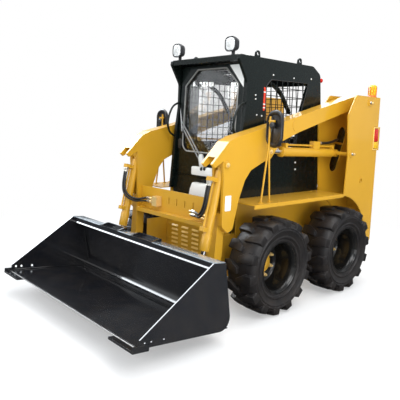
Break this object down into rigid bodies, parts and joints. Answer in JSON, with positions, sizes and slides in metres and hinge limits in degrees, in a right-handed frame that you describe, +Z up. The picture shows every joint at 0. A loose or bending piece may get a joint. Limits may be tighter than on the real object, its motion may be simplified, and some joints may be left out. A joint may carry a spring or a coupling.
{
  "type": "skid steer loader",
  "caption": "Compact wheeled skid steer loader with twin lift arms, a wide bucket, a closed cab and a rear engine door.",
  "frame": {"origin": "on the ground, in the middle of the whole length and width, with the bucket as parked", "axes": "+X forward towards the bucket, +Y to the machine's left, +Z up"},
  "size_m": [3.2494, 2.032, 2.3075],
  "materials": {
    "yellow_paint": "yellow gloss paint over steel plate",
    "black_paint": "black gloss paint over steel",
    "bucket_black": "glossy black paint over steel plate",
    "tyre_rubber": "black tyre rubber",
    "engine_iron": "engine block, plain",
    "seat_vinyl": "black seat vinyl",
    "glass": "clear safety glass",
    "lamp_body": "black lamp housing with a clear lens",
    "amber_lens": "amber beacon lens",
    "red_lens": "red tail lamp lens",
    "mirror_frame": "black mirror frame",
    "black_plastic": "black plastic",
    "white_plastic": "white plastic",
    "chrome_rod": "hard chromed rod",
    "hose_rubber": "black hydraulic hose",
    "zinc_steel": "zinc plated steel fittings"
  },
  "bodies": {
    "root": {"axle_housings": "yellow_paint", "beacon": "amber_lens", "cab_rear": "black_paint", "cab_roof": "black_paint", "cab_sides": "black_paint", "chassis": "yellow_paint", "engine": "engine_iron", "foot_panel": "black_paint", "grab_handles": "black_paint", "hood": "yellow_paint", "lap_bar": "black_paint", "levers": "black_plastic", "mirrors": "mirror_frame", "rear_bumper": "black_paint", "rear_lamp": "lamp_body", "seat": "seat_vinyl", "seat_base": "black_paint", "side_ledges": "yellow_paint", "side_screens": "black_paint", "tail_lamps": "red_lens", "towers": "yellow_paint", "washer_bottle": "white_plastic", "work_lights": "lamp_body"},
    "wheel_front_left": {"rim_front_left": "black_paint", "tyre_front_left": "tyre_rubber"},
    "wheel_front_right": {"rim_front_right": "black_paint", "tyre_front_right": "tyre_rubber"},
    "wheel_rear_left": {"rim_rear_left": "black_paint", "tyre_rear_left": "tyre_rubber"},
    "wheel_rear_right": {"rim_rear_right": "black_paint", "tyre_rear_right": "tyre_rubber"},
    "arms": {"arms": "yellow_paint", "cross_member": "yellow_paint", "hose_fittings": "zinc_steel"},
    "bucket": {"attach_plate": "black_paint", "bucket": "bucket_black"},
    "front_door": {"front_door": "black_paint", "front_glass": "glass", "wiper": "black_plastic"},
    "rear_door": {"rear_door": "yellow_paint"},
    "lift_barrel_left": {"lift_barrels_left": "yellow_paint", "lift_hoses_left": "hose_rubber"},
    "lift_rod_left": {"lift_rods_left": "chrome_rod"},
    "lift_barrel_right": {"lift_barrels_right": "yellow_paint", "lift_hoses_right": "hose_rubber"},
    "lift_rod_right": {"lift_rods_right": "chrome_rod"},
    "tilt_barrel_left": {"tilt_barrels_left": "yellow_paint", "tilt_hoses_left": "hose_rubber"},
    "tilt_rod_left": {"tilt_rods_left": "chrome_rod"},
    "tilt_barrel_right": {"tilt_barrels_right": "yellow_paint", "tilt_hoses_right": "hose_rubber"},
    "tilt_rod_right": {"tilt_rods_right": "chrome_rod"}
  },
  "joints": [
    {"name": "front_left_wheel_spin", "type": "hinge", "parent": "root", "child": "wheel_front_left", "pos_m": [0.0371, 0.746, 0.41462], "axis": [0, 1, 0], "continuous": true},
    {"name": "front_right_wheel_spin", "type": "hinge", "parent": "root", "child": "wheel_front_right", "pos_m": [0.0371, -0.746, 0.41462], "axis": [0, 1, 0], "continuous": true},
    {"name": "rear_left_wheel_spin", "type": "hinge", "parent": "root", "child": "wheel_rear_left", "pos_m": [-0.9629, 0.746, 0.41462], "axis": [0, 1, 0], "continuous": true},
    {"name": "rear_right_wheel_spin", "type": "hinge", "parent": "root", "child": "wheel_rear_right", "pos_m": [-0.9629, -0.746, 0.41462], "axis": [0, 1, 0], "continuous": true},
    {"name": "arm_lift", "type": "hinge", "parent": "root", "child": "arms", "pos_m": [-1.3619, 0, 1.844], "axis": [0, -1, 0], "range_deg": [-2, 62]},
    {"name": "bucket_tilt", "type": "hinge", "parent": "arms", "child": "bucket", "pos_m": [0.5971, 0, 0.235], "axis": [0, 1, 0], "range_deg": [-20, 105]},
    {"name": "front_door_swing", "type": "hinge", "parent": "root", "child": "front_door", "pos_m": [0.1211, 0.404, 1.092], "axis": [-0.045, 0, 0.999], "range_deg": [0, 90]},
    {"name": "rear_door_swing", "type": "hinge", "parent": "root", "child": "rear_door", "pos_m": [-1.5909, 0.439, 0.413], "axis": [0, 0, -1], "range_deg": [0, 100]},
    {"name": "lift_barrel_left_swing", "type": "hinge", "parent": "root", "child": "lift_barrel_left", "pos_m": [-1.0929, 0.575, 1.337], "axis": [0, -1, 0], "range_deg": [-2.47, 61.57]},
    {"name": "lift_rod_left_slide", "type": "slide", "parent": "lift_barrel_left", "child": "lift_rod_left", "axis": [0.9996, 0, 0.0281], "range_m": [-0.02433, 0.6043]},
    {"name": "tilt_barrel_left_swing", "type": "hinge", "parent": "arms", "child": "tilt_barrel_left", "pos_m": [0.4911, 0.575, 1.269], "axis": [0, -1, 0], "range_deg": [-1.5, 5.73]},
    {"name": "tilt_rod_left_slide", "type": "slide", "parent": "tilt_barrel_left", "child": "tilt_rod_left", "axis": [0.2245, 0, -0.9745], "range_m": [-0.0728, 0.36096]},
    {"name": "lift_barrel_right_swing", "type": "hinge", "parent": "root", "child": "lift_barrel_right", "pos_m": [-1.0929, -0.575, 1.337], "axis": [0, -1, 0], "range_deg": [-2.47, 61.57]},
    {"name": "lift_rod_right_slide", "type": "slide", "parent": "lift_barrel_right", "child": "lift_rod_right", "axis": [0.9996, 0, 0.0281], "range_m": [-0.02433, 0.6043]},
    {"name": "tilt_barrel_right_swing", "type": "hinge", "parent": "arms", "child": "tilt_barrel_right", "pos_m": [0.4911, -0.575, 1.269], "axis": [0, -1, 0], "range_deg": [-1.5, 5.73]},
    {"name": "tilt_rod_right_slide", "type": "slide", "parent": "tilt_barrel_right", "child": "tilt_rod_right", "axis": [0.2245, 0, -0.9745], "range_m": [-0.0728, 0.36096]}
  ],
  "couplings": [
    {"joint": "lift_barrel_left_swing", "follows": "arm_lift", "ratio": 0.985},
    {"joint": "lift_rod_left_slide", "follows": "arm_lift", "m_per_rad": 0.55383},
    {"joint": "tilt_barrel_left_swing", "follows": "bucket_tilt", "ratio": 0.04981},
    {"joint": "tilt_rod_left_slide", "follows": "bucket_tilt", "m_per_rad": 0.19424},
    {"joint": "lift_barrel_right_swing", "follows": "arm_lift", "ratio": 0.985},
    {"joint": "lift_rod_right_slide", "follows": "arm_lift", "m_per_rad": 0.55383},
    {"joint": "tilt_barrel_right_swing", "follows": "bucket_tilt", "ratio": 0.04981},
    {"joint": "tilt_rod_right_slide", "follows": "bucket_tilt", "m_per_rad": 0.19424}
  ]
}
